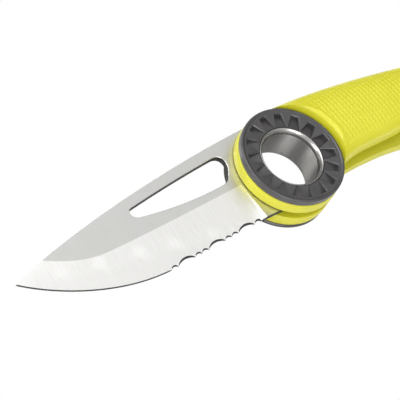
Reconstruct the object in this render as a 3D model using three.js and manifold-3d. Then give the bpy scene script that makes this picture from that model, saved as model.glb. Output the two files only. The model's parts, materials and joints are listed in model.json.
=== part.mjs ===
// Folding rope knife: a part-serrated blade that turns on a hollow steel pivot, so that the
// knife can hang on a carabiner, between two moulded nylon handle shells.
// Units are millimetres. The knife is open and lies on its far side. +Z runs along the
// pivot, the blade's tip points to -X, its cutting edge to -Y and the handle to +X.
// Every piece is drawn about the pivot, with z = 0 on the blade's middle plane.

import * as THREE from 'three';
import { mergeVertices } from 'three/addons/utils/BufferGeometryUtils.js';
import Module from 'manifold-3d';

const wasm = await Module();
wasm.setup();

// Driving dimensions
const GAP = 0.3; // clearance between neighbouring pieces
const FIT = 0.25; // clearance round inserts and screw heads and under the lock
const HOLE_RADIUS = 6.97; // inside of the hollow pivot
const LIP_RADIUS = 8; // flared lip of the hollow pivot
const LIP_HEIGHT = 5.05; // lip above the middle plane
const WHEEL_RADIUS = 13;
const BOSS_RADIUS = 13.15; // handle round the pivot
const BELLY_JOINT = -40; // where the belly meets the boss, in degrees
const BLADE_HALF = 0.85; // half the blade's thickness
const SLOT_HALF = 1.1; // half the slot between the shells
const PARTING_HALF = 0.15; // half the line where the shells meet
const SIDE_HALF = 3.8; // half the straight side wall of the handle
// Heights from the middle plane: the boss's face, a wheel's rim and the handle's crest.
const NEAR = { boss: 3.85, rim: 5.95, crest: 7, pocketFloor: 5.15 };
const FAR = { boss: 4.3, rim: 5.6, crest: 5.6, pocketFloor: 5.15 };
const CREST_HALF_WIDTH = 3; // flat strip along the crest
const DOME_WIDTH = 6.7; // from the flat strip to the side wall
const TIP_X = -76.9;
const HEEL = { x: -14.3, y: -9.45 };
const TANG_RADIUS = 12.4;
const RELIEF_RADIUS = 11.2; // tang between the heel and the lock's notch
const LOCK_FACE_X = 11.6; // face that the lock leaf stands behind
const NOTCH = { start: 325, end: 332, top: 1.2 }; // round the lock face: degrees and height
const LOBE = { radius: 14.5, angle: 60.4 }; // corner that meets the stop pins, in degrees
const EDGE_HALF = 0.15; // half the thickness left at the cutting edge
const PLUNGE_X = -13.3; // where the ground bevel ends

const SLEEVE_BORE = 8.35;
const SLEEVE_RADIUS = 9.3;
const SLEEVE_END = 0.35;
const BORE_CLEARANCE = 0.35;
const SHELL_BORE = SLEEVE_RADIUS + BORE_CLEARANCE;
const RECESS = { foot: 13.45, mouth: 14.5, mouthHeight: 8 }; // hollow round a wheel
const POCKET_COUNT = 16; // grip pockets in a wheel's face
const POCKET_PHASE = 4.5; // degrees
const POCKET = { inner: 8.1, innerHalf: 1.35, outer: 11.3, outerHalf: 0.82 };
const KEY_COUNT = 4;
const KEY_WIDTH = 2.4;
const KEY_RING = { inner: 8.3, outer: 9.9 }; // ring that the keys are cut from

const WASHER = { inner: 9.8, outer: 10.95, bottom: 1.2, top: 1.7 };
const PIN_RADIUS = 0.9;
const PIN_HALF = 2.9;
const PINS = {
  open_stop_pin: polar(13.6, 55),
  closed_stop_pin: polar(15.8, 37.5),
};

const SCREWS = [
  { x: 21, y: 10.85 },
  { x: 64, y: 5.3 },
  { x: 83, y: 0.2 },
  { x: 83, y: -8.3 },
];
const SHANK = { radius: 0.65, bottom: -3.9, top: 3 };
const HEAD = { radius: 1.35, bottom: -4.4, top: -3.4 };
const HEX_SOCKET = { radius: 0.7, depth: 0.7 };
const INSERT = { outer: 1.25, inner: 0.95, bottom: 0.5, top: 3.4 };

const LOCK_THICKNESS = 1.1;
const LOCK_MARGIN = 0.35; // free space round the lock's pieces
const LOCK_MIDDLE = -1.75; // middle of the lock plate's thickness
const LEAF_ROOT_X = 60.4; // line where the leaf flexes
const LEAF_ANGLE = THREE.MathUtils.degToRad(2.1); // leaf sprung up behind the tang

const COLOURS = {
  nylon: { color: 0xe3e044, roughness: 0.55, metalness: 0 },
  grip: { color: 0x55555a, roughness: 0.6, metalness: 0 },
  blade: { color: 0xc9cbc6, roughness: 0.35, metalness: 1 },
  steel: { color: 0xb4b4b0, roughness: 0.25, metalness: 1 },
  brass: { color: 0xc8a24a, roughness: 0.35, metalness: 1 },
  bronze: { color: 0xb08050, roughness: 0.4, metalness: 1 },
};

function polar(radius, degrees) {
  const angle = THREE.MathUtils.degToRad(degrees);
  return { x: radius * Math.cos(angle), y: radius * Math.sin(angle) };
}

// Solids

function solid(geometry) {
  const bare = geometry.index ? geometry.clone() : mergeVertices(geometry);
  bare.deleteAttribute('normal');
  bare.deleteAttribute('uv');
  const merged = mergeVertices(bare, 1e-4);
  return new wasm.Manifold(new wasm.Mesh({
    numProp: 3,
    vertProperties: new Float32Array(merged.attributes.position.array),
    triVerts: new Uint32Array(merged.index.array),
  }));
}

function geometryOf(body) {
  const mesh = body.getMesh();
  const geometry = new THREE.BufferGeometry();
  geometry.setAttribute('position', new THREE.BufferAttribute(mesh.vertProperties, 3));
  geometry.setIndex(new THREE.BufferAttribute(mesh.triVerts, 1));
  return geometry;
}

function prism(shape, bottom, top, curveSegments = 10) {
  const settings = { depth: top - bottom, bevelEnabled: false, curveSegments };
  return solid(new THREE.ExtrudeGeometry(shape, settings).translate(0, 0, bottom));
}

function disc(radius, bottom, top, place = { x: 0, y: 0 }, sides = 24, topRadius = radius) {
  const geometry = new THREE.CylinderGeometry(topRadius, radius, top - bottom, sides);
  geometry.rotateX(Math.PI / 2);
  return solid(geometry.translate(place.x, place.y, (top + bottom) / 2));
}

function block(low, high) {
  const geometry = new THREE.BoxGeometry(high[0] - low[0], high[1] - low[1], high[2] - low[2]);
  return solid(geometry.translate(...low.map((value, axis) => (value + high[axis]) / 2)));
}

function turned(profile, segments = 72) {
  const points = profile.map(([radius, height]) => new THREE.Vector2(radius, height));
  return solid(new THREE.LatheGeometry([...points, points[0].clone()], segments).rotateX(Math.PI / 2));
}

// The mirror image below the middle plane.
function mirrorZ(body) {
  const geometry = geometryOf(body).applyMatrix4(new THREE.Matrix4().makeScale(1, 1, -1));
  const index = geometry.index.array;
  for (let i = 0; i < index.length; i += 3) {
    [index[i], index[i + 1]] = [index[i + 1], index[i]];
  }
  return solid(geometry);
}

const group = new THREE.Group();

function add(name, body, look) {
  const mesh = new THREE.Mesh(geometryOf(body), new THREE.MeshStandardMaterial(COLOURS[look]));
  mesh.name = name;
  group.add(mesh);
}

// Handle

function handleOutline() {
  const shape = new THREE.Shape();
  shape.moveTo(0, BOSS_RADIUS);
  shape.bezierCurveTo(22, 14.6, 60, 9.4, 86, 3);
  shape.bezierCurveTo(94.5, 0.9, 93.5, -13.2, 81, -12.9);
  shape.bezierCurveTo(66, -12.55, 47, -6.5, 29, -5.85);
  const joint = polar(BOSS_RADIUS, BELLY_JOINT);
  shape.bezierCurveTo(20, -5.8, 12, -6.15, joint.x, joint.y);
  shape.absarc(0, 0, BOSS_RADIUS, THREE.MathUtils.degToRad(BELLY_JOINT), -1.5 * Math.PI, true);
  return shape;
}

// One side of the handle's cross-section: height along x, width along y.
function domeSection(crest) {
  const wide = 18;
  const side = CREST_HALF_WIDTH + DOME_WIDTH;
  const rise = crest - SIDE_HALF;
  const shape = new THREE.Shape();
  shape.moveTo(0, wide);
  shape.lineTo(-SIDE_HALF, wide);
  shape.lineTo(-SIDE_HALF, side);
  shape.absellipse(-SIDE_HALF, CREST_HALF_WIDTH, rise, DOME_WIDTH, Math.PI / 2, Math.PI, false);
  shape.absellipse(-SIDE_HALF, -CREST_HALF_WIDTH, rise, DOME_WIDTH, Math.PI, 1.5 * Math.PI, false);
  shape.lineTo(-SIDE_HALF, -wide);
  shape.lineTo(0, -wide);
  return shape;
}

// One side of the handle as a solid block with its domed face up.
function handleBlank(crest) {
  const edge = { size: 2, thickness: 2.6 };
  const top = crest + 0.2;
  const outline = new THREE.ExtrudeGeometry(handleOutline(), {
    depth: 2 * (top - edge.thickness),
    bevelEnabled: true,
    bevelSize: edge.size,
    bevelThickness: edge.thickness,
    bevelOffset: -edge.size,
    bevelSegments: 3,
    curveSegments: 12,
  });
  outline.translate(0, 0, edge.thickness - top);
  const path = new THREE.CubicBezierCurve3(
    new THREE.Vector3(-20, 4.6, 0),
    new THREE.Vector3(22, 4.6, 0),
    new THREE.Vector3(54, 1.5, 0),
    new THREE.Vector3(98, -8, 0),
  );
  const dome = new THREE.ExtrudeGeometry(domeSection(crest), {
    extrudePath: path,
    steps: 16,
    curveSegments: 4,
    bevelEnabled: false,
  });
  return solid(outline).intersect(solid(dome));
}

// Everything between the shells that is not their meeting back wall and tail.
function slotOutline() {
  const shape = new THREE.Shape();
  shape.moveTo(-20, -20);
  shape.lineTo(78.3, -20);
  shape.lineTo(78.3, -8.2);
  shape.bezierCurveTo(77.6, -4.4, 71, 1, 62, 3.9);
  shape.bezierCurveTo(52, 8.3, 36, 9, 16.5, 8.75);
  shape.lineTo(16.5, 20);
  shape.lineTo(-20, 20);
  return shape;
}

// A shell with its domed face up.
function halfShell(side) {
  let body = handleBlank(side.crest).intersect(block([-30, -30, PARTING_HALF], [110, 30, 10]));
  body = body.subtract(prism(slotOutline(), -1, SLOT_HALF));
  body = body.subtract(disc(RECESS.foot, side.boss, RECESS.mouthHeight, undefined, 72, RECESS.mouth));
  body = body.subtract(disc(SHELL_BORE, -1, 9, undefined, 72));
  body = body.subtract(disc(WASHER.outer + GAP, -1, WASHER.top + GAP, undefined, 48));
  for (const place of Object.values(PINS)) {
    body = body.subtract(disc(PIN_RADIUS + GAP, -1, PIN_HALF + GAP, place, 16));
  }
  return body;
}

// The near shell's lower edge is cut back, most of all at the lock leaf's tab.
function scallop() {
  const shape = new THREE.Shape();
  shape.moveTo(15.2, -9);
  shape.bezierCurveTo(17.5, -5.2, 20, -4.4, 25, -4.35);
  shape.bezierCurveTo(34, -4.3, 39, -3.6, 46, -3.7);
  shape.bezierCurveTo(51, -3.9, 54, -6, 57, -11);
  shape.lineTo(57, -16);
  shape.lineTo(15.2, -16);
  return prism(shape, -1, 9, 8);
}

function nearShell() {
  let body = halfShell(NEAR).subtract(scallop());
  for (const place of SCREWS) {
    body = body.subtract(disc(INSERT.outer + FIT, -1, INSERT.top + GAP, place, 16));
  }
  return body;
}

function farShell() {
  let body = mirrorZ(halfShell(FAR));
  for (const place of SCREWS) {
    body = body.subtract(disc(SHANK.radius + GAP, -8, 1, place, 16));
    body = body.subtract(disc(HEAD.radius + FIT, -9, HEAD.top + GAP, place, 16));
  }
  const floor = LOCK_MIDDLE - LOCK_THICKNESS / 2 - FIT;
  body = body.subtract(prism(leafOutline(LOCK_MARGIN), floor, 0));
  return body.subtract(prism(plateOutline(LOCK_MARGIN), floor, 0));
}

// Lock

function leafOutline(margin = 0) {
  const m = margin;
  const shape = new THREE.Shape();
  shape.moveTo(11.95 - m, -2.9 - m);
  shape.lineTo(40 - m, -3 - m);
  shape.lineTo(43 - m, -5.9 - m);
  shape.lineTo(49 + m, -6.1 - m);
  shape.lineTo(51 + m, -4.3 - m);
  shape.lineTo(LEAF_ROOT_X - 0.2 + m, -5 - m);
  shape.lineTo(LEAF_ROOT_X - 0.2 + m, 0.2 + m);
  shape.lineTo(36, 1.9 + m);
  shape.lineTo(13 - m, 2.4 + m);
  shape.lineTo(13 - m, 1 + m);
  shape.lineTo(11.95 - m, 0.25 + m);
  return shape;
}

function plateOutline(margin = 0) {
  const m = margin;
  const shape = new THREE.Shape();
  shape.moveTo(LEAF_ROOT_X + 0.2 - m, -6.4 - m);
  shape.lineTo(74, -9.6 - m);
  shape.lineTo(84.5, -10.4 - m);
  shape.lineTo(87 + m, -8);
  shape.lineTo(87 + m, -1);
  shape.lineTo(85 + m, 1.2 + m);
  shape.lineTo(62, 3.2 + m);
  shape.lineTo(24 - m, 6.2 + m);
  shape.lineTo(24 - m, 3.2 - m);
  shape.lineTo(36, 2.7 - m);
  shape.lineTo(LEAF_ROOT_X + 0.2 - m, 1 - m);
  return shape;
}

function lockPlate() {
  const half = LOCK_THICKNESS / 2;
  let body = prism(plateOutline(), LOCK_MIDDLE - half, LOCK_MIDDLE + half);
  for (const place of SCREWS.slice(2)) {
    body = body.subtract(disc(SHANK.radius + GAP, -8, 1, place, 16));
  }
  return body;
}

function lockLeaf() {
  const half = LOCK_THICKNESS / 2;
  const geometry = geometryOf(prism(leafOutline(), -half, half));
  geometry.translate(-LEAF_ROOT_X, 0, 0);
  geometry.rotateY(LEAF_ANGLE);
  geometry.translate(LEAF_ROOT_X, 0, LOCK_MIDDLE);
  return solid(geometry);
}

// Blade

// One row of teeth: small and large scallops between points on a straight line.
function addSerrations(shape, start) {
  const widths = [2.1, 5.2, 2.05, 2.05, 5.2, 2.05, 2.05, 5.2, 2.2];
  const total = widths.reduce((sum, width) => sum + width, 0);
  const slope = (HEEL.y - start.y) / total;
  let x = start.x;
  for (const width of widths) {
    const depth = width > 3 ? 0.75 : 0.45;
    const from = start.y + slope * (x - start.x);
    const steps = width > 3 ? 5 : 3;
    for (let i = 1; i <= steps; i += 1) {
      const t = i / steps;
      shape.lineTo(x + width * t, from + slope * width * t + 4 * depth * t * (1 - t));
    }
    x += width;
  }
}

function bladeOutline() {
  const serrationStart = { x: HEEL.x - 28.1, y: -11.32 };
  const shape = new THREE.Shape();
  shape.moveTo(TIP_X, 0);
  shape.bezierCurveTo(-70.5, -5.2, -57, -11.8, serrationStart.x, serrationStart.y);
  addSerrations(shape, serrationStart);
  const heelEnd = -9.3;
  const tangStart = Math.PI + Math.asin(heelEnd / -RELIEF_RADIUS);
  shape.lineTo(RELIEF_RADIUS * Math.cos(tangStart), heelEnd);
  shape.absarc(0, 0, RELIEF_RADIUS, tangStart, THREE.MathUtils.degToRad(NOTCH.start), false);
  const lockAngle = Math.acos(LOCK_FACE_X / TANG_RADIUS);
  shape.absarc(0, 0, TANG_RADIUS, THREE.MathUtils.degToRad(NOTCH.end), 2 * Math.PI - lockAngle, false);
  const lobe = THREE.MathUtils.degToRad(LOBE.angle);
  shape.lineTo(LOCK_FACE_X, NOTCH.top);
  shape.absarc(0, 0, TANG_RADIUS, Math.asin(NOTCH.top / TANG_RADIUS), lobe, false);
  shape.lineTo(LOBE.radius * Math.cos(lobe), LOBE.radius * Math.sin(lobe));
  shape.lineTo(0, 13.1);
  shape.bezierCurveTo(-25, 11.5, -57, 6.6, TIP_X, 0);
  return shape;
}

function cutOut() {
  const shape = new THREE.Shape();
  shape.moveTo(-42.4, 5.5);
  shape.bezierCurveTo(-43.8, 5.2, -43.9, 2.95, -41.4, 2.6);
  shape.quadraticCurveTo(-30, 1, -19.5, 1.7);
  shape.bezierCurveTo(-16.8, 1.75, -15.7, 2.3, -14.76, 3.9);
  shape.bezierCurveTo(-12.6, 6.6, -13.3, 9.1, -16, 8.95);
  shape.quadraticCurveTo(-29, 7.7, -42.4, 5.5);
  return shape;
}

// A wedge that grinds one side from the grind line down to the cutting edge.
function bevelCut(edgeStart, edgeEnd, width, ends) {
  const along = Math.atan2(edgeEnd.y - edgeStart.y, edgeEnd.x - edgeStart.x);
  const slope = Math.atan2(BLADE_HALF - EDGE_HALF, width);
  const geometry = new THREE.BoxGeometry(ends[1] - ends[0], 40, 10);
  geometry.translate((ends[0] + ends[1]) / 2, 0, 5);
  geometry.rotateX(slope);
  geometry.translate(0, 0, EDGE_HALF);
  geometry.rotateZ(along);
  geometry.translate(edgeStart.x, edgeStart.y, 0);
  return solid(geometry);
}

function bladeBody() {
  let body = prism(bladeOutline(), -BLADE_HALF, BLADE_HALF, 10);
  body = body.subtract(prism(cutOut(), -2, 2, 6));
  const bore = disc(SLEEVE_RADIUS + BORE_CLEARANCE, -2, 2, undefined, 72);
  let keys = disc(KEY_RING.outer, -2, 2, undefined, 48);
  keys = keys.subtract(disc(KEY_RING.inner, -3, 3, undefined, 48));
  keys = keys.intersect(keyBars(KEY_WIDTH, -2, 2));
  body = body.subtract(bore.subtract(keys));
  const main = bevelCut({ x: -43, y: -11.4 }, { x: HEEL.x, y: -9.5 }, 9.7, [-40, 60]);
  const belly = bevelCut({ x: TIP_X, y: 0.3 }, { x: -57.6, y: -9.8 }, 6.7, [-20, 80]);
  const ground = main.add(belly).intersect(block([-90, -30, -5], [PLUNGE_X, 30, 15]));
  return body.subtract(ground).subtract(mirrorZ(ground));
}

// Crossed bars at the places of the keys.
function keyBars(width, bottom, top) {
  const bar = block([-20, -width / 2, bottom], [20, width / 2, top]);
  return bar.add(bar.rotate([0, 0, 360 / KEY_COUNT]));
}

// Pivot

function wheelBody(side) {
  const underside = side.boss + FIT;
  const profile = [
    [SLEEVE_BORE, SLEEVE_END],
    [SLEEVE_RADIUS, SLEEVE_END],
    [SLEEVE_RADIUS, underside],
    [WHEEL_RADIUS - 0.2, underside],
    [WHEEL_RADIUS, underside + 0.2],
    [WHEEL_RADIUS, side.rim - 0.8],
    [WHEEL_RADIUS - 0.2, side.rim - 0.35],
    [WHEEL_RADIUS - 0.6, side.rim - 0.05],
    [WHEEL_RADIUS - 0.9, side.rim],
    [WHEEL_RADIUS - 1.4, side.rim - 0.15],
    [8.6, side.pocketFloor + 0.1],
    [SLEEVE_BORE, side.pocketFloor - 0.1],
  ];
  let body = turned(profile);
  const pocket = new THREE.Shape();
  pocket.moveTo(POCKET.inner, -POCKET.innerHalf);
  pocket.lineTo(POCKET.outer, -POCKET.outerHalf);
  pocket.lineTo(POCKET.outer, POCKET.outerHalf);
  pocket.lineTo(POCKET.inner, POCKET.innerHalf);
  const cutter = prism(pocket, side.pocketFloor, 8);
  for (let i = 0; i < POCKET_COUNT; i += 1) {
    body = body.subtract(cutter.rotate([0, 0, POCKET_PHASE + (360 * i) / POCKET_COUNT]));
  }
  return body.subtract(keyBars(KEY_WIDTH + 2 * GAP, -2, BLADE_HALF + GAP));
}

function pivotTube() {
  const upper = [
    [HOLE_RADIUS, 3.2],
    [7.15, 4.15],
    [7.5, 4.8],
    [LIP_RADIUS - 0.08, LIP_HEIGHT],
    [LIP_RADIUS, LIP_HEIGHT - 0.12],
    [7.75, 4.45],
    [7.6, 3.6],
  ];
  const lower = upper.map(([radius, height]) => [radius, -height]).reverse();
  return turned([...upper, ...lower].reverse());
}

function washer() {
  const { inner, outer, bottom, top } = WASHER;
  return disc(outer, bottom, top, undefined, 48).subtract(disc(inner, bottom - 1, top + 1, undefined, 48));
}

// Fasteners

function screw(place) {
  const shank = disc(SHANK.radius, SHANK.bottom - 0.5, SHANK.top, place, 12);
  const head = disc(HEAD.radius, HEAD.bottom, HEAD.top, place, 20);
  const socket = disc(HEX_SOCKET.radius, HEAD.bottom - 1, HEAD.bottom + HEX_SOCKET.depth, place, 6);
  return shank.add(head).subtract(socket);
}

function insert(place) {
  const outer = disc(INSERT.outer, INSERT.bottom, INSERT.top, place, 16);
  return outer.subtract(disc(INSERT.inner, INSERT.bottom - 1, INSERT.top + 1, place, 12));
}

// Assembly

add('near_handle_shell', nearShell(), 'nylon');
add('far_handle_shell', farShell(), 'nylon');
add('lock_plate', lockPlate(), 'steel');
add('lock_leaf', lockLeaf(), 'steel');
add('blade', bladeBody(), 'blade');
add('near_wheel', wheelBody(NEAR), 'grip');
add('far_wheel', mirrorZ(wheelBody(FAR)), 'grip');
add('pivot_tube', pivotTube(), 'steel');
add('near_washer', washer(), 'bronze');
add('far_washer', mirrorZ(washer()), 'bronze');

for (const [name, place] of Object.entries(PINS)) {
  add(name, disc(PIN_RADIUS, -PIN_HALF, PIN_HALF, place, 20), 'steel');
}

SCREWS.forEach((place, i) => {
  add(`handle_screw_${i + 1}`, screw(place), 'steel');
  add(`threaded_insert_${i + 1}`, insert(place), 'brass');
});

// The frame's origin is the middle of the open knife's box, on the surface it lies on.
const box = new THREE.Box3().setFromObject(group);
const middle = box.getCenter(new THREE.Vector3());
group.position.set(-middle.x, -middle.y, -box.min.z);

export default group;
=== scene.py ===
# Studio scene of a folding rope knife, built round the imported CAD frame.
# Shapes are drawn in millimetres about the pivot: x runs towards the handle, y towards the
# blade's spine, and z = 0 is the blade's middle plane. settle() puts them in the row frame.

import json
import math

import bpy
import numpy as np
from mathutils import Matrix, Vector
from mathutils.geometry import delaunay_2d_cdt

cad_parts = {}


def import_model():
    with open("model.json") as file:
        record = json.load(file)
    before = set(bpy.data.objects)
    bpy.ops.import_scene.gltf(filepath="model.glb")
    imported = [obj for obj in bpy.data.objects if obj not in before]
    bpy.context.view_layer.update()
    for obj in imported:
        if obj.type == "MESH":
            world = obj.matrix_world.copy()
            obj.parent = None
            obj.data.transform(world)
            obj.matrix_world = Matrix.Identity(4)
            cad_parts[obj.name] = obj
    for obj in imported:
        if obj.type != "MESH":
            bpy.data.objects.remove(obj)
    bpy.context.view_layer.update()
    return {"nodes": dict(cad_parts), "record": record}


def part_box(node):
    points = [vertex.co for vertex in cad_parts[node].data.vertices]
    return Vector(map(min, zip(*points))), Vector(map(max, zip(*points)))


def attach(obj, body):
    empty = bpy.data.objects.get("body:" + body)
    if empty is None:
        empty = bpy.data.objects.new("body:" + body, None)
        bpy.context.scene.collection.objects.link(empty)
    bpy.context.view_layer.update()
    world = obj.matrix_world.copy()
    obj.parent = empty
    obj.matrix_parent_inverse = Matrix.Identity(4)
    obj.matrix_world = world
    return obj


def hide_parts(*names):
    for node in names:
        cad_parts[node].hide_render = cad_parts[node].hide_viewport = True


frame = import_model()

MM = 0.001
PIVOT = next(j["pos_m"] for j in frame["record"]["behaviour"]["joints"] if j["name"] == "blade_pivot")


def height(node, end):
    """How far a CAD node reaches above (end 1) or below (end 0) the middle plane."""
    return abs(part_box(node)[end][2] - PIVOT[2]) / MM


# Driving dimensions, in millimetres
CLEARANCE = 0.35  # round the sleeves and the lock

BOSS_RADIUS = 13.14
BELLY_JOINT = -40  # degrees round the boss where the belly starts
TAIL_TOP = (86, 3)
TAIL_FOOT = (81, -12.9)
SIDE_HALF = 3.8  # half the height of the handle's straight sides
DOME_WIDTH = 6.7  # from the edge to where the crest is level
PARTING_HALF = 0.15  # half the groove between the shells
SLOT_HALF = 1.1
RECESS_RADIUS = 13.45  # round the wheel, flaring out to the crest
FLARE_FOOT = 14.15
FLARE_TOP = 15.5
WASHER_SEAT = 11.25
DOT_PITCH = 1.21
DOT_TURN = 6.4  # degrees between the rows of dots and x
DOT_DEPTH = 0.12
DOT_RANGE = (12.5, 88)  # x, where the mesh is fine enough for the dots
DOT_EDGES = {"belly": (1.7, 2.4), "back": (1.2, 1.8), "pivot": (15.3, 15.8)}  # distances of fading in

BLADE_HALF = 0.85
EDGE_HALF = 0.15
TIP = (-76.9, 0)
HEEL = (-14.3, -9.45)
SPINE_START = (0, 13.1)
TEETH_START = (-42.4, -11.32)
WIDE_TOOTH = 5.2  # the other teeth are small
TEETH_WIDTHS = [2.1, WIDE_TOOTH, 2.05, 2.05, WIDE_TOOTH, 2.05, 2.05, WIDE_TOOTH, 2.2]
TEETH_EDGE = -0.02  # height of the teeth's near edge, as they are ground from the near side alone
GRIND_END = (-13.65, 0.2)
PLUNGE_TOP = (-13.65, 0.3)  # the bevel ends between these two points
PLUNGE_FOOT = (-12.95, -9.6)
PLUNGE_WIDTH = 2.6  # the bevel gets shallower over this width
HONED_WIDTH = 0.2  # of the fine bevel along the plain edge
BEVEL_ONLY = -70  # nearer the tip than this, the bevel takes the whole width
BREAK = 0.09  # width of the broken edge along the spine and the cut-out
BREAK_DEPTH = 0.07
WORN_SPINE_END = -69.5  # the spine's broken edge stops short of the bevel
GRID_STEP = 1.5  # between the mesh's points where the blade is flat
# The last kind is painted shade: a near-black steel on walls and on the honed edge and teeth
SATIN_KIND, GROUND_KIND, PAINTED_SHADE_KIND = range(3)  # a blade face's finish
TANG_RADIUS = 12.4
RELIEF_RADIUS = 11.2  # tang between the heel and the lock's notch
NOTCH = {"start": 325, "end": 332, "face": 11.6, "top": 1.2}  # degrees, then x and y
LOBE_RADIUS = 14.5
LOBE_START = 60.4  # degrees
KEY_REACH = 8.3
KEY_WIDTH = 2.4
KEY_FIT = 0.3

SLEEVE_BORE = 8.35
SLEEVE_RADIUS = 9.3
SLEEVE_END = 0.35  # height of the sleeve's inner end
WHEEL_RADIUS = 13
RIDGE_RADIUS = 12.56
FACE_EDGE = 8.12  # the face's inner edge stands in over the sleeve's bore
FACE_RADII = (8.75, 11.6)  # a wheel's face is a shallow cone between these
FACE_RISE = 0.12  # from the dish to the face's inner edge
FACE_DROP = 0.22  # from the rim to the face's outer edge
POCKET_COUNT = 16
POCKET_PHASE = 4.5  # degrees
POCKET_REACH = (7.5, 11.35)  # radii of the inner and the outer end
POCKET_HALVES = (1.42, 0.82)  # half widths at the inner and the outer end
POCKET_CORNER = 0.22
POCKET_FLOOR = 0.6  # above the boss, at the outer end
BORE_RADIUS = 6.97
BORE_END = 4  # height where the bore's dull finish gives way to the lip's
LIP_RADIUS = 7.98
TUBE_RADIUS = 7.6

PINS = {"open_stop_pin": (13.6, 55), "closed_stop_pin": (15.8, 37.5)}  # radius and degrees
PIN_RADIUS = 0.9
PIN_HALF = 2.9
PIN_FIT = 0.3  # round each pin in its hole
SCREWS = [(21, 10.85), (64, 5.3), (83, 0.2), (83, -8.3)]
INSERT_RADIUS = 1.5
INSERT_TOP = 3.7
SCREW_HOLE = 0.95
HEAD_HOLE = [(1.9, -8), (1.9, -5.1), (1.6, -4.7), (1.6, -3.1)]  # (radius, height)
LOCK_FLOOR = -2.55
LEAF_ROOT_X = 60.4

# Heights over the middle plane on each side: the boss under the wheel, the shell's crest, the
# wheel's rim, and the lowest part of the wheel's face
NEAR = {
    "boss": 3.85,
    "crest": height("near_handle_shell", 1),
    "rim": height("near_wheel", 1),
    "dish": 5.15,
}
FAR = {
    "boss": 4.3,
    "crest": height("far_handle_shell", 0),
    "rim": height("far_wheel", 0),
    "dish": 5.15,
}
LIP_HEIGHT = height("pivot_tube", 1)


# Lines


def polar(radius, degrees):
    """The point at an angle on a circle round the pivot."""
    angle = math.radians(degrees)
    return (radius * math.cos(angle), radius * math.sin(angle))


def bezier(start, first, second, end, count):
    """Points on a cubic curve, without its first point."""
    t = np.linspace(0, 1, count + 1)[1:, None]
    a, b, c, d = (np.array(p, float) for p in (start, first, second, end))
    return (1 - t) ** 3 * a + 3 * (1 - t) ** 2 * t * b + 3 * (1 - t) * t**2 * c + t**3 * d


def quadratic(start, middle, end, count):
    """Points on a quadratic curve, without its first point."""
    a, b, c = (np.array(p, float) for p in (start, middle, end))
    return bezier(a, a + (b - a) * 2 / 3, c + (b - c) * 2 / 3, c, count)


def arc(radius, start, end, count, centre=(0, 0)):
    """Points on an arc between two angles in degrees, without its first point."""
    angles = np.radians(np.linspace(start, end, count + 1)[1:])
    return np.stack([centre[0] + radius * np.cos(angles), centre[1] + radius * np.sin(angles)], 1)


def line(*pieces):
    """One polyline from single points and arrays of points."""
    return np.vstack([np.atleast_2d(np.array(piece, float)) for piece in pieces])


def curves(start, *segments):
    """Cubic curves end to end, each given as (first, second, end, count), without start."""
    pieces = []
    for first, second, end, count in segments:
        pieces.append(bezier(start, first, second, end, count))
        start = end
    return line(*pieces)


def distance(points, polyline, closed=False):
    """Distance of each point to a polyline."""
    ends = np.roll(polyline, -1, 0) if closed else polyline[1:]
    starts = polyline if closed else polyline[:-1]
    best = np.full(len(points), np.inf)
    for a, b in zip(starts, ends):
        along = b - a
        t = np.clip((points - a) @ along / max(along @ along, 1e-12), 0, 1)
        gap = points - (a + t[:, None] * along)
        best = np.minimum(best, (gap**2).sum(1))
    return np.sqrt(best)


def inside(points, polygon):
    """Which of the points lie inside a polygon."""
    result = np.zeros(len(points), bool)
    x, y = points.T
    for (x0, y0), (x1, y1) in zip(polygon, np.roll(polygon, -1, 0)):
        if y0 == y1:
            continue
        crosses = (y0 > y) != (y1 > y)
        result ^= crosses & (x < (x1 - x0) * (y - y0) / (y1 - y0) + x0)
    return result


def smoothstep(value, low, high):
    """0 below low, 1 above high, and a smooth rise between."""
    t = np.clip((value - low) / (high - low), 0, 1)
    return t * t * (3 - 2 * t)


# Solids


def make_object(name, verts, faces):
    """A closed mesh object with its faces pointing out."""
    mesh = bpy.data.meshes.new(name)
    mesh.from_pydata(np.asarray(verts, float).tolist(), [], faces)
    obj = bpy.data.objects.new(name, mesh)
    bpy.context.scene.collection.objects.link(obj)
    if volume(mesh) < 0:
        mesh.flip_normals()
    return obj


def volume(mesh):
    """The signed volume that a closed mesh holds."""
    mesh.calc_loop_triangles()
    corners = np.empty(len(mesh.loop_triangles) * 3, np.int32)
    mesh.loop_triangles.foreach_get("vertices", corners)
    points = np.empty(len(mesh.vertices) * 3)
    mesh.vertices.foreach_get("co", points)
    a, b, c = points.reshape(-1, 3)[corners.reshape(-1, 3)].transpose(1, 0, 2)
    return (a * np.cross(b, c)).sum() / 6


def loft(name, loops, closed=False):
    """A tube through equal loops of points, capped unless it closes on itself."""
    loops = np.asarray(loops, float)
    stations, count = loops.shape[:2]
    index = np.arange(stations * count).reshape(stations, count)
    here = index if closed else index[:-1]
    there = np.roll(index, -1, 0) if closed else index[1:]
    quads = np.stack([here, np.roll(here, -1, 1), np.roll(there, -1, 1), there], -1)
    faces = quads.reshape(-1, 4).tolist()
    if not closed:
        faces += [index[0][::-1].tolist(), index[-1].tolist()]
    return make_object(name, loops.reshape(-1, 3), faces)


def ring(name, profile, segments=192, start=0, end=360):
    """A closed (radius, height) profile turned round the pivot, all round or between two angles."""
    closed = end - start >= 360
    angles = np.radians(np.linspace(start, end, segments + 1))
    if closed:
        angles = angles[:-1]
    radius, z = np.asarray(profile, float).T
    loops = [np.stack([radius * math.cos(a), radius * math.sin(a), z], 1) for a in angles]
    return loft(name, loops, closed)


def turned(name, place, stations, segments=48):
    """A solid turned round an upright axis through place, from (radius, height) stations."""
    angles = np.linspace(0, 2 * math.pi, segments, endpoint=False)
    circle = np.stack([np.cos(angles), np.sin(angles)], 1)
    loops = [np.column_stack([circle * radius + place, np.full(segments, z)]) for radius, z in stations]
    return loft(name, loops)


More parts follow.
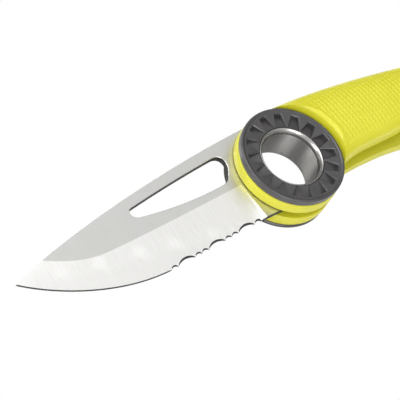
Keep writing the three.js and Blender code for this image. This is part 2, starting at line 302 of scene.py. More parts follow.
def prism(name, outline, bottom, top):
    """An upright solid with the same outline at every height."""
    return loft(name, [np.column_stack([outline, np.full(len(outline), z)]) for z in (bottom, top)])


def carve(obj, cutters):
    """Cuts the cutters out of obj and removes them."""
    for cutter in cutters:
        cut = obj.modifiers.new(cutter.name, "BOOLEAN")
        cut.operation = "DIFFERENCE"
        cut.solver = "MANIFOLD"
        cut.object = cutter
    bpy.context.view_layer.update()
    graph = bpy.context.evaluated_depsgraph_get()
    mesh = bpy.data.meshes.new_from_object(obj.evaluated_get(graph))
    obj.modifiers.clear()
    obj.data = mesh
    for cutter in cutters:
        bpy.data.objects.remove(cutter)


def mirror(obj):
    """Turns obj over to the far side of the middle plane."""
    obj.data.transform(Matrix.Scale(-1, 4, (0, 0, 1)))
    obj.data.flip_normals()


def settle(obj, materials, body, node, sharp=28):
    """Puts a finished piece in the row frame, smooth but for its sharp edges, on its body."""
    obj.data.transform(Matrix.Translation(PIVOT) @ Matrix.Scale(MM, 4))
    obj.data.materials.clear()
    for material in materials:
        obj.data.materials.append(material)
    obj.data.shade_smooth()
    obj.data.set_sharp_from_angle(angle=math.radians(sharp))
    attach(obj, body)
    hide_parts(node)


# Materials


class Finish:
    """A Principled material whose colour, roughness and bump vary over the surface."""

    def __init__(self, name, metallic=0):
        self.material = bpy.data.materials.new(name)
        self.material.use_nodes = True
        self.tree = self.material.node_tree
        self.shader = self.tree.nodes["Principled BSDF"]
        self.shader.inputs["Metallic"].default_value = metallic

    def node(self, kind, **values):
        """A new node with some of its inputs set."""
        made = self.tree.nodes.new(kind)
        for name, value in values.items():
            made.inputs[name].default_value = value
        return made

    def link(self, source, target):
        self.tree.links.new(source, target)

    def noise(self, scale, stretch=(1, 1, 1), turn=0, detail=4):
        """Noise in the piece's own coordinates, stretched by stretch after turning about z."""
        place = self.tree.nodes.new("ShaderNodeTexCoord")
        mapping = self.node("ShaderNodeMapping", Scale=stretch, Rotation=(0, 0, math.radians(turn)))
        texture = self.node("ShaderNodeTexNoise", Scale=scale, Detail=detail)
        self.link(place.outputs["Object"], mapping.inputs["Vector"])
        self.link(mapping.outputs["Vector"], texture.inputs["Vector"])
        return texture.outputs["Fac"]

    def spread(self, source, low, high):
        """Maps the middle of a noise to the range low to high."""
        spread = self.tree.nodes.new("ShaderNodeMapRange")
        for name, value in zip(("From Min", "From Max", "To Min", "To Max"), (0.3, 0.7, low, high)):
            spread.inputs[name].default_value = value
        self.link(source, spread.inputs["Value"])
        return spread.outputs["Result"]

    def colour(self, source, first, second):
        """Varies the base colour between first and second."""
        mix = self.tree.nodes.new("ShaderNodeMix")
        mix.data_type = "RGBA"
        ends = [socket for socket in mix.inputs if socket.type == "RGBA"]
        ends[0].default_value = (*first, 1)
        ends[1].default_value = (*second, 1)
        self.link(self.spread(source, 0, 1), mix.inputs["Factor"])
        result = next(socket for socket in mix.outputs if socket.type == "RGBA")
        self.link(result, self.shader.inputs["Base Color"])

    def roughness(self, source, low, high):
        """Varies the roughness between low and high."""
        self.link(self.spread(source, low, high), self.shader.inputs["Roughness"])

    def bump(self, source, depth):
        """Raises and sinks the surface by up to depth, in millimetres."""
        bump = self.node("ShaderNodeBump", Strength=1, Distance=depth * MM)
        self.link(source, bump.inputs["Height"])
        self.link(bump.outputs["Normal"], self.shader.inputs["Normal"])


def nylon_yellow():
    """Moulded handle nylon with a fine tooth, a little translucent."""
    finish = Finish("yellow_nylon")
    finish.colour(finish.noise(120), (0.6, 0.574, 0.026), (0.57, 0.545, 0.018))
    finish.roughness(finish.noise(900), 0.34, 0.44)
    finish.bump(finish.noise(3000, detail=6), 0.03)
    finish.shader.inputs["Specular IOR Level"].default_value = 0.65
    finish.shader.inputs["Subsurface Weight"].default_value = 0.12
    finish.shader.inputs["Subsurface Radius"].default_value = (1.0, 0.9, 0.15)
    finish.shader.inputs["Subsurface Scale"].default_value = 0.6 * MM
    return finish.material


def nylon_grey():
    """The wheels' dark nylon, with a fine moulded grain."""
    finish = Finish("grey_nylon")
    finish.colour(finish.noise(500), (0.033, 0.031, 0.0325), (0.047, 0.044, 0.046))
    finish.roughness(finish.noise(1500), 0.3, 0.4)
    finish.bump(finish.noise(4000, detail=6), 0.035)
    finish.shader.inputs["Specular IOR Level"].default_value = 0.8
    return finish.material


def satin_steel():
    """The blade's blasted flats."""
    finish = Finish("satin_steel", metallic=1)
    finish.colour(finish.noise(260), (0.76, 0.756, 0.737), (0.735, 0.731, 0.712))
    finish.roughness(finish.noise(2600), 0.33, 0.42)
    finish.bump(finish.noise(5000, detail=6), 0.012)
    return finish.material


def ground_steel():
    """The bevel, with grinding lines that run from the spine to the edge."""
    finish = Finish("ground_steel", metallic=1)
    grain = finish.noise(900, (3, 0.25, 1), turn=4)
    finish.colour(grain, (1, 0.995, 0.975), (0.92, 0.915, 0.895))
    finish.roughness(grain, 0.36, 0.48)
    finish.bump(finish.noise(1400, (2.2, 0.2, 1), turn=4), 0.01)
    return finish.material


def painted_shade_steel():
    """Painted shade: a near-black, dull steel for the walls of the cut-out, and the honed edge and teeth,
    standing in for the shade they lie in.
    """
    finish = Finish("cut_wall_painted_shade_steel")
    finish.colour(finish.noise(2500, (1, 1, 0.1)), (0.045, 0.045, 0.044), (0.02, 0.02, 0.019))
    finish.roughness(finish.noise(2500, (1, 1, 0.1)), 0.45, 0.6)
    finish.shader.inputs["Specular IOR Level"].default_value = 0.25
    finish.bump(finish.noise(3500, (1, 1, 0.15)), 0.02)
    return finish.material


def turned_steel():
    """The pivot's lips, with fine marks round the axis."""
    finish = Finish("turned_steel", metallic=1)
    grain = finish.noise(500, (0.15, 0.15, 12))
    finish.colour(grain, (0.48, 0.475, 0.46), (0.36, 0.355, 0.345))
    finish.roughness(grain, 0.2, 0.34)
    finish.bump(grain, 0.006)
    return finish.material


def bore_steel():
    """The pivot's bore, whose marks spread each reflection into an upright band."""
    finish = Finish("bore_steel", metallic=1)
    streaks = finish.noise(170, (1, 1, 0.02), detail=2)
    finish.colour(streaks, (0.34, 0.335, 0.325), (0.48, 0.47, 0.455))
    finish.roughness(finish.noise(500, (0.15, 0.15, 12)), 0.4, 0.48)
    finish.bump(finish.noise(500, (0.15, 0.15, 12)), 0.006)
    finish.shader.inputs["Anisotropic"].default_value = 0.95
    finish.shader.inputs["Anisotropic Rotation"].default_value = 0.25
    tangent = finish.tree.nodes.new("ShaderNodeTangent")
    tangent.direction_type = "RADIAL"
    tangent.axis = "Z"
    finish.link(tangent.outputs["Tangent"], finish.shader.inputs["Tangent"])
    return finish.material


def plain_metal(name, first, second, roughness, scale=1200, stretch=(1, 1, 1)):
    """A metal between two colours, for the small and hidden pieces."""
    finish = Finish(name, metallic=1)
    grain = finish.noise(scale, stretch)
    finish.colour(grain, first, second)
    finish.roughness(grain, roughness - 0.06, roughness + 0.08)
    finish.bump(finish.noise(scale * 2, stretch), 0.008)
    return finish.material


YELLOW = nylon_yellow()
GREY = nylon_grey()
SATIN = satin_steel()
GROUND = ground_steel()
PAINTED_SHADE_STEEL = painted_shade_steel()
TURNED = turned_steel()
BORE = bore_steel()
SPRING = plain_metal("spring_steel", (0.55, 0.55, 0.54), (0.42, 0.42, 0.41), 0.32, 700, (0.2, 6, 1))
FASTENER = plain_metal("fastener_steel", (0.5, 0.5, 0.5), (0.36, 0.36, 0.36), 0.3)
BRONZE = plain_metal("washer_bronze", (0.52, 0.3, 0.13), (0.4, 0.22, 0.09), 0.4)
BRASS = plain_metal("insert_brass", (0.72, 0.5, 0.18), (0.58, 0.4, 0.12), 0.34)


# Handle


def handle_outline(cut_back):
    """The side of one shell. The near shell's belly is cut back, most of all at the lock's tab."""
    joint = polar(BOSS_RADIUS, BELLY_JOINT)
    back = bezier((0, BOSS_RADIUS), (22, 14.55), (60, 9.38), TAIL_TOP, 60)
    tail = bezier(TAIL_TOP, (94.5, 0.9), (93.5, -13.2), TAIL_FOOT, 90)
    if cut_back:
        belly = curves(
            TAIL_FOOT,
            ((70, -12.6), (62, -10.8), (57, -9.35), 20),
            ((52, -7.2), (50, -3.75), (45, -3.75), 20),
            ((38, -3.7), (32, -4.3), (25, -4.35), 20),
            ((18.5, -4.4), (12.6, -5.4), joint, 20),
        )
    else:
        belly = curves(
            TAIL_FOOT,
            ((66, -12.55), (47, -6.5), (29, -5.85), 40),
            ((20, -5.8), (12, -6.15), joint, 20),
        )
    boss = line(arc(BOSS_RADIUS, BELLY_JOINT, -180, 70), arc(BOSS_RADIUS, -180, -270, 45))
    return line(back, tail, belly, boss)


def handle_stations(end):
    """Where the cross-sections stand: close together in the dotted field and at both ends."""
    boss = -BOSS_RADIUS * np.cos(np.radians(np.linspace(1, 90, 46)))
    shoulder = np.linspace(0, DOT_RANGE[0], 26)[1:]
    field = np.arange(*DOT_RANGE, DOT_PITCH / 6)[1:]
    tail = end - (end - DOT_RANGE[1]) * (1 - np.linspace(0, 1, 24)) ** 2 - 0.004
    return np.concatenate([boss, shoulder, field, tail])


def shell_blank(name, side, cut_back):
    """One shell with its domed, dotted face up, before anything is cut out of it."""
    outline = handle_outline(cut_back)
    outline = np.roll(outline, -int(outline[:, 0].argmax()), 0)
    left = int(outline[:, 0].argmin())
    belly = outline[: left + 1]
    back = line(outline[left:], outline[0])
    x = handle_stations(outline[0, 0])
    low = np.interp(x, belly[::-1, 0], belly[::-1, 1])
    high = np.interp(x, back[:, 0], back[:, 1])

    width = (high - low)[:, None]
    edge = np.array([0, 0.015, 0.05, 0.11, 0.2, 0.33, 0.5, 0.72, 1.0]) * np.minimum(1, width / 4)
    middle = np.linspace(0, 1, 98)[None, 1:-1]
    middle = edge[:, -1:] + middle * (width - 2 * edge[:, -1:])
    y = low[:, None] + np.concatenate([edge, middle, width - edge[:, ::-1]], 1)
    points = np.stack([np.repeat(x, y.shape[1]), y.ravel()], 1)

    to_belly = distance(points, belly)
    to_back = distance(points, back)
    from_edge = np.minimum(to_belly, to_back)
    dome = np.sqrt(1 - (1 - np.clip(from_edge / DOME_WIDTH, 0, 1)) ** 2)
    z = SIDE_HALF + (side["crest"] - SIDE_HALF) * dome

    rows = points @ np.array([polar(1, DOT_TURN), polar(1, DOT_TURN + 90)]).T
    dots = (0.5 + 0.5 * np.cos(2 * math.pi / DOT_PITCH * rows)).prod(1)
    field = smoothstep(to_belly, *DOT_EDGES["belly"]) * smoothstep(to_back, *DOT_EDGES["back"])
    field *= smoothstep(np.hypot(*points.T), *DOT_EDGES["pivot"])
    z -= DOT_DEPTH * field * (1 - dots)

    top = np.stack([points[:, 0], points[:, 1], z], 1).reshape(*y.shape, 3)
    walls = []
    levels = (2.6, 1.3, PARTING_HALF)
    for edge_y, order in ((high, levels), (low, levels[::-1])):
        walls += [np.stack([x, edge_y, np.full(len(x), level)], 1)[:, None] for level in order]
    return loft(name, np.concatenate([top, *walls], 1))


def slot_outline():
    """Everything between the shells but the back wall and tail, where they meet."""
    far_end = (78.3, -8.2)
    near_end = (16.5, 8.75)
    wall = curves(
        far_end,
        ((77.6, -4.4), (71, 1), (62, 3.9), 16),
        ((52, 8.3), (36, 9), near_end, 24),
    )
    beyond = 20
    return line(
        (-beyond, -beyond),
        (far_end[0], -beyond),
        far_end,
        wall,
        (near_end[0], beyond),
        (-beyond, beyond),
    )


def shell_cutters(side):
    """The slot, the flared recess round the wheel, the pivot's bore and the pins' holes."""
    boss = side["boss"]
    crest = side["crest"]
    inside_bore = 5
    beside = 14
    above = 9

    foot = (FLARE_FOOT, crest - 1.3)
    top = (FLARE_TOP, crest + 0.05)
    flare = bezier(foot, (14.3, crest - 0.4), (14.6, crest - 0.05), top, 10)
    recess = line(
        (inside_bore, boss),
        (RECESS_RADIUS, boss),
        foot,
        flare,
        (FLARE_TOP, above),
        (inside_bore, above),
    )

    shoulder = (BOSS_RADIUS - 0.45, boss)
    brow = (BOSS_RADIUS, boss - 1.5)
    crown = bezier(shoulder, (BOSS_RADIUS - 0.15, boss), (BOSS_RADIUS, boss - 0.6), brow, 10)
    upper_round = line(shoulder, crown, (beside, brow[1]), (beside, above), (shoulder[0], above))

    small = 0.3
    rise = SLOT_HALF + small
    corner = arc(small, 0, -90, 6, (BOSS_RADIUS - small, rise))
    lower_round = line((BOSS_RADIUS, rise), corner, (BOSS_RADIUS - small, 0), (beside, 0), (beside, rise))

    bore = SLEEVE_RADIUS + CLEARANCE
    cutters = [
        prism("slot", slot_outline(), -1, SLOT_HALF),
        ring("recess", recess),
        ring("boss_edge", upper_round, 200, start=92, end=318),
        ring("boss_underside", lower_round, 200, start=80, end=318),
        turned("bore", (0, 0), [(bore, -1), (bore, above + 0.5)], 192),
        turned("washer_seat", (0, 0), [(WASHER_SEAT, -1), (WASHER_SEAT, 2)], 144),
    ]
    for node, place in PINS.items():
        hole = [(PIN_RADIUS + PIN_FIT, -1), (PIN_RADIUS + PIN_FIT, PIN_HALF + PIN_FIT)]
        cutters.append(turned(f"{node}_hole", polar(*place), hole))
    return cutters


def leaf_pocket_outline():
    """The lock leaf's outline with room for it to move."""
    m = CLEARANCE
    end = LEAF_ROOT_X - 0.2 + m
    return [
        (11.95 - m, -2.9 - m), (40 - m, -3 - m), (43 - m, -5.9 - m), (49 + m, -6.1 - m),
        (51 + m, -4.3 - m), (end, -5 - m), (end, 0.2 + m), (36, 1.9 + m),
        (13 - m, 2.4 + m), (13 - m, 1 + m), (11.95 - m, 0.25 + m),
    ]


def plate_pocket_outline():
    """The lock plate's outline with room round it."""
    m = CLEARANCE
    start = LEAF_ROOT_X + 0.2 - m
    return [
        (start, -6.4 - m), (74, -9.6 - m), (84.5, -10.4 - m), (87 + m, -8), (87 + m, -1),
        (85 + m, 1.2 + m), (62, 3.2 + m), (24 - m, 6.2 + m), (24 - m, 3.2 - m),
        (36, 2.7 - m), (start, 1 - m),
    ]


def near_shell():
    """The shell on the camera's side, with blind holes for the threaded inserts."""
    cutters = shell_cutters(NEAR)
    hole = [(INSERT_RADIUS, -1), (INSERT_RADIUS, INSERT_TOP)]
    for i, place in enumerate(SCREWS):
        cutters.append(turned(f"insert_hole_{i}", place, hole))
    shell = shell_blank("near_shell", NEAR, True)
    carve(shell, cutters)
    settle(shell, [YELLOW], "handle", "near_handle_shell")


def far_shell():
    """The shell on the other side, with pockets for the lock and holes for the screws."""
    shell = shell_blank("far_shell", FAR, False)
    carve(shell, shell_cutters(FAR))
    mirror(shell)
    cutters = [
        prism("leaf_pocket", leaf_pocket_outline(), LOCK_FLOOR, 0),
        prism("plate_pocket", plate_pocket_outline(), LOCK_FLOOR, 0),
    ]
    for i, place in enumerate(SCREWS):
        cutters.append(turned(f"screw_hole_{i}", place, [(SCREW_HOLE, -8), (SCREW_HOLE, 1)]))
        cutters.append(turned(f"head_hole_{i}", place, HEAD_HOLE))
    carve(shell, cutters)
    settle(shell, [YELLOW], "handle", "far_handle_shell")


# Blade


def scalloped(wide_depth, small_depth, power):
    """A row of arches along the serrated stretch, a full one over each tooth."""
    slope = (HEEL[1] - TEETH_START[1]) / sum(TEETH_WIDTHS)
    pieces = []
    x = TEETH_START[0]
    for width in TEETH_WIDTHS:
        wide = width == WIDE_TOOTH
        depth = wide_depth if wide else small_depth
        t = np.linspace(0, 1, 15 if wide else 9)[1:]
        base = TEETH_START[1] + slope * (x + width * t - TEETH_START[0])
        pieces.append(np.stack([x + width * t, base + depth * (4 * t * (1 - t)) ** power], 1))
        x += width
    return line(TEETH_START, *pieces)


def teeth():
    """The serrated stretch of the edge."""
    return scalloped(0.75, 0.45, 1)


def scallops():
    """Where the teeth's ground faces end on the blade's side."""
    return scalloped(1.2, 0.75, 0.75)


def belly_edge():
    """The plain stretch of the edge, from the tip."""
    return line(TIP, bezier(TIP, (-70.5, -5.2), (-57, -11.8), TEETH_START, 60))


def cutting_edge():
    """The whole edge, from the tip to the heel."""
    return line(belly_edge(), teeth()[1:])


def spine():
    """The blade's back, down to the tip."""
    return line(SPINE_START, bezier(SPINE_START, (-25, 11.5), (-57, 6.6), TIP, 80))


def blade_outline():
    """The blade and its tang, with the lock's notch and the stop lobe."""
    heel_drop = 9.3  # how far below the pivot the heel runs into the tang
    tang_start = 180 + math.degrees(math.asin(heel_drop / RELIEF_RADIUS))
    notch_foot = 360 - math.degrees(math.acos(NOTCH["face"] / TANG_RADIUS))
    notch_top = math.degrees(math.asin(NOTCH["top"] / TANG_RADIUS))
    return line(
        cutting_edge(),
        polar(RELIEF_RADIUS, tang_start),
        arc(RELIEF_RADIUS, tang_start, NOTCH["start"], 60),
        arc(TANG_RADIUS, NOTCH["end"], notch_foot, 8),
        (NOTCH["face"], NOTCH["top"]),
        arc(TANG_RADIUS, notch_top, LOBE_START, 40),
        polar(LOBE_RADIUS, LOBE_START),
        spine()[:-1],
    )


def cut_out_outline():
    """The long hole near the spine, wide towards the pivot."""
    narrow_top = (-42.4, 5.5)
    narrow_foot = (-41.4, 2.6)
    wide_foot = (-19.5, 1.7)
    wide_top = (-16, 8.95)
    return line(
        bezier(narrow_top, (-43.8, 5.2), (-43.9, 2.95), narrow_foot, 16),
        quadratic(narrow_foot, (-30, 1), wide_foot, 30),
        curves(
            wide_foot,
            ((-16.8, 1.75), (-15.7, 2.3), (-14.76, 3.9), 16),
            ((-12.6, 6.6), (-13.3, 9.1), wide_top, 20),
        ),
        quadratic(wide_top, (-29, 7.7), narrow_top, 40),
    )


def bore_outline():
    """The tang's bore, with four keys for the wheels' slots."""
    bore = SLEEVE_RADIUS + CLEARANCE
    outer = math.degrees(math.asin(KEY_WIDTH / 2 / bore))
    inner = math.degrees(math.asin(KEY_WIDTH / 2 / KEY_REACH))
    pieces = []
    for quarter in range(0, 360, 90):
        pieces.append(arc(KEY_REACH, quarter - inner, quarter + inner, 6))
        pieces.append(arc(bore, quarter + outer, quarter + 90 - outer, 24))
    return line(*pieces)


def offset(polyline, amount):
    """A polyline moved to its left by amount."""
    along = np.gradient(polyline, axis=0)
    along /= np.linalg.norm(along, axis=1)[:, None]
    return polyline + amount * np.stack([-along[:, 1], along[:, 0]], 1)


def grind_line():
    """The ridge between the flat and the ground bevel, from the spine to the plunge."""
    corner = (-68.3, 2.17)
    rest = curves(
        corner,
        ((-64.5, 0.4), (-60.5, -1.75), (-54, -1.77), 24),
        ((-44, -1.6), (-30, -0.8), GRIND_END, 40),
    )
    return line((-70.4, 4.2), corner, rest)


def plunge(y):
    """Where the bevel ends at height y."""
    return np.interp(y, (PLUNGE_FOOT[1], PLUNGE_TOP[1]), (PLUNGE_FOOT[0], PLUNGE_TOP[0]))


def half_thickness(points):
    """Half the blade's thickness at each point."""
    x, y = points.T
    grind = grind_line()
    straight = line(belly_edge(), HEEL)
    width = np.interp(x, grind[1:, 0], distance(grind[1:], straight))
    rise = np.clip(distance(points, straight) / width, 0, 1)
    rise = np.where(inside(points, cutting_edge()), 0, rise)
    above = (y > np.interp(x, grind[:, 0], grind[:, 1])) & (x > grind[1, 0])
    before_plunge = (plunge(y) - x) / PLUNGE_WIDTH
    full = above | (before_plunge < 0.01)
    rise = 1 - (1 - rise) * np.clip(before_plunge, 0, 1) ** 0.6
    half = np.where(full, BLADE_HALF, EDGE_HALF + (BLADE_HALF - EDGE_HALF) * rise)
    to_break = np.minimum(distance(points, spine()), distance(points, cut_out_outline(), True))
    worn = np.clip(1 - to_break / BREAK, 0, 1) * BREAK_DEPTH
    return np.where(full, half - worn, half)


def constraint_mesh(lines):
    """Constrained triangles over closed and open lines, given as (points, closed)."""
    verts = []
    edges = []
    for points, closed in lines:
        first = len(verts)
        verts += [Vector(p) for p in points]
        edges += [(first + i, first + i + 1) for i in range(len(points) - 1)]
        if closed:
            edges.append((len(verts) - 1, first))
    result = delaunay_2d_cdt(verts, edges, [], 0, 1e-5)
    return np.array([tuple(v) for v in result[0]]), np.array(result[2])


def blade_lines():
    """Every line that the blade's mesh has to follow, as (points, closed)."""
    levels = np.linspace(PLUNGE_TOP[1], PLUNGE_FOOT[1], 14)
    worn_spine = offset(spine(), BREAK)
    worn_spine = worn_spine[worn_spine[:, 0] > WORN_SPINE_END]
    lines = [
        (blade_outline(), True),
        (cut_out_outline(), True),
        (bore_outline(), True),
        (worn_spine, False),
        (offset(cut_out_outline(), -BREAK), True),
        (grind_line(), False),
        (scallops(), False),
        (offset(belly_edge(), HONED_WIDTH)[1:-1], False),
    ]
    for share in (0, 0.1, 0.25, 0.45, 0.7, 1):
        lines.append((np.stack([plunge(levels) - PLUNGE_WIDTH * share, levels], 1), False))
    return lines


def blade_triangles():
    """The blade's side as points and triangles."""
    lines = blade_lines()
    grid = np.stack(np.meshgrid(np.arange(-76, 14, GRID_STEP), np.arange(-12, 14, GRID_STEP)), -1)
    grid = grid.reshape(-1, 2)
    to_lines = np.min([distance(grid, points, closed) for points, closed in lines], 0)
    loose = [(point[None], False) for point in grid[to_lines > GRID_STEP / 3]]
    verts, triangles = constraint_mesh(lines + loose)
    centres = verts[triangles].mean(1)
    keep = inside(centres, blade_outline())
    keep &= ~inside(centres, cut_out_outline()) & ~inside(centres, bore_outline())
    triangles = triangles[keep]
    used = np.unique(triangles)
    renumber = np.full(len(verts), -1)
    renumber[used] = np.arange(len(used))
    return verts[used], renumber[triangles]


def blade():
    """The blade with its tang: both sides of the mesh, and the walls between them."""
    verts, triangles = blade_triangles()
    centres = verts[triangles].mean(1)
    half = half_thickness(verts)
    on_teeth = (distance(verts, teeth()) < 0.01) & (verts[:, 0] > TEETH_START[0] + 0.1)
    top = np.where(on_teeth, TEETH_EDGE, half)
    count = len(verts)
    points = np.vstack([np.column_stack([verts, top]), np.column_stack([verts, -half])])
    faces = triangles.tolist() + (triangles[:, ::-1] + count).tolist()

    plunge_foot = (PLUNGE_FOOT[0], PLUNGE_FOOT[1] + 0.2)
    bevel = inside(centres, line(cutting_edge(), plunge_foot, grind_line()[::-1], TIP))
    bevel |= centres[:, 0] < BEVEL_ONLY
    # The honed edge and the teeth's ground faces get the painted shade as well
    honed = distance(centres, belly_edge()) < 0.9 * HONED_WIDTH
    honed |= inside(centres, line(teeth(), scallops()[::-1]))
    far_kinds = np.where(bevel, GROUND_KIND, SATIN_KIND)
    kinds = np.where(honed, PAINTED_SHADE_KIND, far_kinds).tolist() + far_kinds.tolist()

    sides = [side for a, b, c in triangles.tolist() for side in ((a, b), (b, c), (c, a))]
    paired = set(sides)
    border = [(a, b) for a, b in sides if (b, a) not in paired]
    middles = np.array([(verts[a] + verts[b]) / 2 for a, b in border])
    # The walls get the painted shade in the cut-out, and along the edge as far as the lock's notch
    shade_painted_walls = (middles[:, 1] < 0) & (middles[:, 0] < 9) & (np.hypot(*middles.T) > 10)
    shade_painted_walls |= distance(middles, cut_out_outline(), True) < 0.1
    faces += [[b, a, a + count, b + count] for a, b in border]
    kinds += np.where(shade_painted_walls, PAINTED_SHADE_KIND, SATIN_KIND).tolist()

    piece = make_object("blade_body", points, faces)
    settle(piece, [SATIN, GROUND, PAINTED_SHADE_STEEL], "blade", "blade", 24)
    piece.data.polygons.foreach_set("material_index", kinds)
    mark_borders(piece.data)


def mark_borders(mesh):
    """Keeps the shading crisp where two finishes meet."""
    kinds = {}
    sharp = mesh.attributes.get("sharp_edge") or mesh.attributes.new("sharp_edge", "BOOLEAN", "EDGE")
    for face in mesh.polygons:
        for key in face.edge_keys:
            kinds.setdefault(key, set()).add(face.material_index)
    for edge in mesh.edges:
        if len(kinds[edge.key]) > 1:
            sharp.data[edge.index].value = True


# Pivot


def wheel_profile(side):
    """Half of a wheel's section: the sleeve, the rim with its ridge, and the sunken face."""
    rim = side["rim"]
    dish = side["dish"]
    under = side["boss"] + 0.25
    ridge = (RIDGE_RADIUS, rim)
    shoulder = (WHEEL_RADIUS, rim - 0.42)
    inner = (FACE_RADII[0], dish + FACE_RISE)
    return line(
        (SLEEVE_BORE, SLEEVE_END),
        (SLEEVE_RADIUS, SLEEVE_END),
        (SLEEVE_RADIUS, under),
        (WHEEL_RADIUS - 0.2, under),
        (WHEEL_RADIUS, under + 0.2),
        shoulder,
        curves(
            shoulder,
            ((WHEEL_RADIUS, rim - 0.12), (WHEEL_RADIUS - 0.18, rim), ridge, 8),
            ((12.36, rim), (12.3, rim - 0.2), (12.05, rim - 0.2), 6),
        ),
        (FACE_RADII[1], rim - FACE_DROP),
        inner,
        bezier(inner, (8.4, dish + 0.06), (FACE_EDGE, dish + 0.02), (FACE_EDGE, dish - 0.15), 6),
        (FACE_EDGE, dish - 0.5),
        (SLEEVE_BORE, dish - 0.6),
    )


def pocket(name, side, degrees):
    """A cutter for one grip pocket, whose floor slopes down outwards below a small chamfer."""
    turn = math.radians(degrees)
    spin = np.array([[math.cos(turn), math.sin(turn)], [-math.sin(turn), math.cos(turn)]])
    start, reach = POCKET_REACH
    face = (side["dish"] + FACE_RISE, side["rim"] - FACE_DROP)
    loops = []
    for grow, rise in ((0, None), (0.1, -0.2), (0.3, 0.03), (0.9, 0.63)):
        outer = reach + grow
        wide, narrow = (half + grow for half in POCKET_HALVES)
        corner = POCKET_CORNER
        shape = line(
            (start, -wide - 0.04),
            (outer - corner, -narrow),
            arc(corner, -90, 0, 4, (outer - corner, corner - narrow)),
            (outer, narrow - corner),
            arc(corner, 0, 90, 4, (outer - corner, narrow - corner)),
            (start, wide + 0.04),
        )
        if rise is None:
            z = np.interp(shape[:, 0], (start, outer), (side["dish"], side["boss"] + POCKET_FLOOR))
        else:
            z = np.interp(shape[:, 0], FACE_RADII, face) + rise
        loops.append(np.column_stack([shape @ spin, z]))
    return loft(name, loops)


def wheel(name, side, node):
    """One grip wheel with its sleeve, its pockets and the slots for the tang's keys."""
    body = ring(name, wheel_profile(side), 288)
    cutters = []
    for i in range(POCKET_COUNT):
        cutters.append(pocket(f"pocket_{i}", side, POCKET_PHASE + 360 / POCKET_COUNT * i))
    half = KEY_WIDTH / 2 + KEY_FIT
    long = 20  # well past the sleeve
    for i, (x, y) in enumerate(((long, half), (half, long))):
        bar = np.array([(-x, -y), (x, -y), (x, y), (-x, y)], float)
        cutters.append(prism(f"key_slot_{i}", bar, -2, BLADE_HALF + KEY_FIT))
    carve(body, cutters)
    if side is FAR:
        mirror(body)
    settle(body, [GREY], "blade", node)


def pivot_tube():
    """The hollow pivot with its flared lips, the lips turned bright and the bore left dull."""
    top = LIP_HEIGHT
    bore = (BORE_RADIUS, 2.9)
    crest = (LIP_RADIUS - 0.12, top)
    edge = (LIP_RADIUS, top - 0.1)
    flare = curves(
        bore,
        ((7, 3.8), (7.25, top - 0.35), crest, 14),
        ((LIP_RADIUS - 0.06, top), (LIP_RADIUS, top - 0.02), edge, 4),
        ((7.75, 4.5), (TUBE_RADIUS, 4.1), (TUBE_RADIUS, 3.4), 6),
    )
    upper = line(bore, flare)
    tube = ring("pivot_tube_body", line(upper, upper[::-1] * (1, -1)), 256)
    settle(tube, [TURNED, BORE], "blade", "pivot_tube", 40)
    middle = Vector(PIVOT)
    for face in tube.data.polygons:
        reach = face.center - middle
        in_bore = reach.xy.length < (BORE_RADIUS + 0.08) * MM
        face.material_index = int(in_bore and abs(reach.z) < BORE_END * MM)


# Fasteners


def pin(name, place):
    """A stop pin with chamfered ends."""
    chamfer = 0.15
    stations = [
        (PIN_RADIUS - chamfer, -PIN_HALF),
        (PIN_RADIUS, chamfer - PIN_HALF),
        (PIN_RADIUS, PIN_HALF - chamfer),
        (PIN_RADIUS - chamfer, PIN_HALF),
    ]
    settle(turned(f"{name}_body", place, stations), [FASTENER], "handle", name)


def screw(number, place):
    """A handle screw with a round head and a hexagon socket, from the far side."""
    stations = [(1.1, -4.4), (1.28, -4.33), (1.35, -4.18), (1.35, -3.42), (0.65, -3.4), (0.65, 3)]
    socket = [(0.7, -5.4), (0.7, -3.7)]
    body = turned(f"screw_{number}_body", place, stations)
    carve(body, [turned(f"socket_{number}", place, socket, 6)])
    settle(body, [FASTENER], "handle", f"handle_screw_{number}")


def repaint(node, material):
    """A new finish for a CAD node that stays as it is."""
    for entry in frame["nodes"][node].material_slots:
        entry.link = "OBJECT"
        entry.material = material


near_shell()
far_shell()
blade()
wheel("near_wheel_body", NEAR, "near_wheel")
wheel("far_wheel_body", FAR, "far_wheel")
pivot_tube()
for node, place in PINS.items():
    pin(node, polar(*place))
for number, place in enumerate(SCREWS, 1):
    screw(number, place)
    repaint(f"threaded_insert_{number}", BRASS)
for node in ("lock_plate", "lock_leaf"):
    repaint(node, SPRING)
for node in ("near_washer", "far_washer"):
    repaint(node, BRONZE)


# Studio


def floor():
    """A pale floor, in metres, which the camera sees as pure white."""
    reach = 4
    level = -0.0004
    corners = [(x * reach, y * reach, level) for x, y in ((-1, -1), (1, -1), (1, 1), (-1, 1))]
    mesh = bpy.data.meshes.new("floor")
    mesh.from_pydata(corners, [], [(0, 1, 2, 3)])
    made = bpy.data.objects.new("floor", mesh)
    bpy.context.scene.collection.objects.link(made)
    finish = Finish("floor_white")
    finish.shader.inputs["Roughness"].default_value = 0.9
    finish.colour(finish.noise(3), (0.88, 0.88, 0.88), (0.86, 0.86, 0.86))
    glow = finish.node("ShaderNodeEmission", Color=(1, 1, 1, 1), Strength=1.0)
    rays = finish.tree.nodes.new("ShaderNodeLightPath")
    mix = finish.tree.nodes.new("ShaderNodeMixShader")
    finish.link(rays.outputs["Is Camera Ray"], mix.inputs["Fac"])
    finish.link(finish.shader.outputs["BSDF"], mix.inputs[1])
    finish.link(glow.outputs["Emission"], mix.inputs[2])
    finish.link(mix.outputs["Shader"], finish.tree.nodes["Material Output"].inputs["Surface"])
    mesh.materials.append(finish.material)


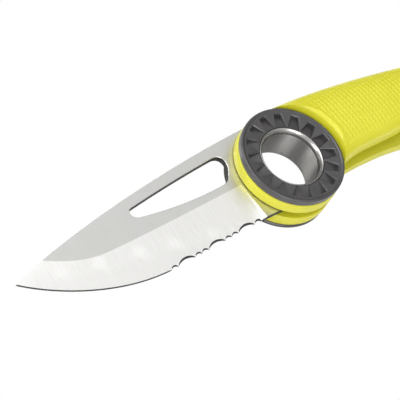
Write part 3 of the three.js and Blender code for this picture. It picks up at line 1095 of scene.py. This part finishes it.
def world():
    """Soft surroundings, bright above the blade's side and dim low on the handle's."""
    made = bpy.data.worlds.new("studio")
    made.use_nodes = True
    tree = made.node_tree
    background = tree.nodes["Background"]
    place = tree.nodes.new("ShaderNodeTexCoord")
    toward = tree.nodes.new("ShaderNodeVectorMath")
    toward.operation = "DOT_PRODUCT"
    toward.inputs[1].default_value = (-0.45, -0.2, 0.75)
    ramp = tree.nodes.new("ShaderNodeMapRange")
    ramp.inputs["From Min"].default_value = -0.15
    ramp.inputs["From Max"].default_value = 0.42
    ramp.inputs["To Min"].default_value = 0.12
    ramp.inputs["To Max"].default_value = 1.0
    tree.links.new(place.outputs["Generated"], toward.inputs[0])
    tree.links.new(toward.outputs["Value"], ramp.inputs["Value"])
    tree.links.new(ramp.outputs["Result"], background.inputs["Color"])
    background.inputs["Strength"].default_value = 0.82
    bpy.context.scene.world = made


def softbox(name, place, size, watts):
    """An area light that looks at the pivot, its place from there and its size in metres."""
    data = bpy.data.lights.new(name, "AREA")
    data.shape = "RECTANGLE"
    data.size = size[0]
    data.size_y = size[1]
    data.energy = watts
    light = bpy.data.objects.new(name, data)
    light.location = Vector(PIVOT) + Vector(place)
    light.rotation_euler = (-Vector(place)).to_track_quat("-Z", "Y").to_euler()
    bpy.context.scene.collection.objects.link(light)


def camera():
    """The photo's view: down at the knife from beyond the blade, on its edge's side."""
    forward = Vector((0.56711, 0.28687, -0.77207)).normalized()
    up = Vector((0.32927, 0.78026, 0.53177)).normalized()
    place = Vector(PIVOT) + Vector((-255.37, -115.41, 313.50)) * MM
    data = bpy.data.cameras.new("camera")
    data.lens = 162
    data.sensor_width = 36
    data.clip_start = 0.01
    made = bpy.data.objects.new("camera", data)
    right = forward.cross(up).normalized()
    turn = Matrix((right, right.cross(forward), -forward)).transposed()
    made.matrix_world = Matrix.Translation(place) @ turn.to_4x4()
    bpy.context.scene.collection.objects.link(made)
    bpy.context.scene.camera = made


floor()
world()
softbox("key", (-0.25, 0.45, 0.6), (0.5, 0.5), 3)
softbox("fill", (-0.28, -0.58, 0.5), (0.45, 0.45), 2.9)
softbox("left", (-0.75, 0.22, 0.3), (0.3, 0.3), 1.6)
softbox("overhead", (0.57, 0.2, 0.8), (0.9, 0.8), 0.45)
camera()
bpy.context.scene.view_settings.view_transform = "Standard"
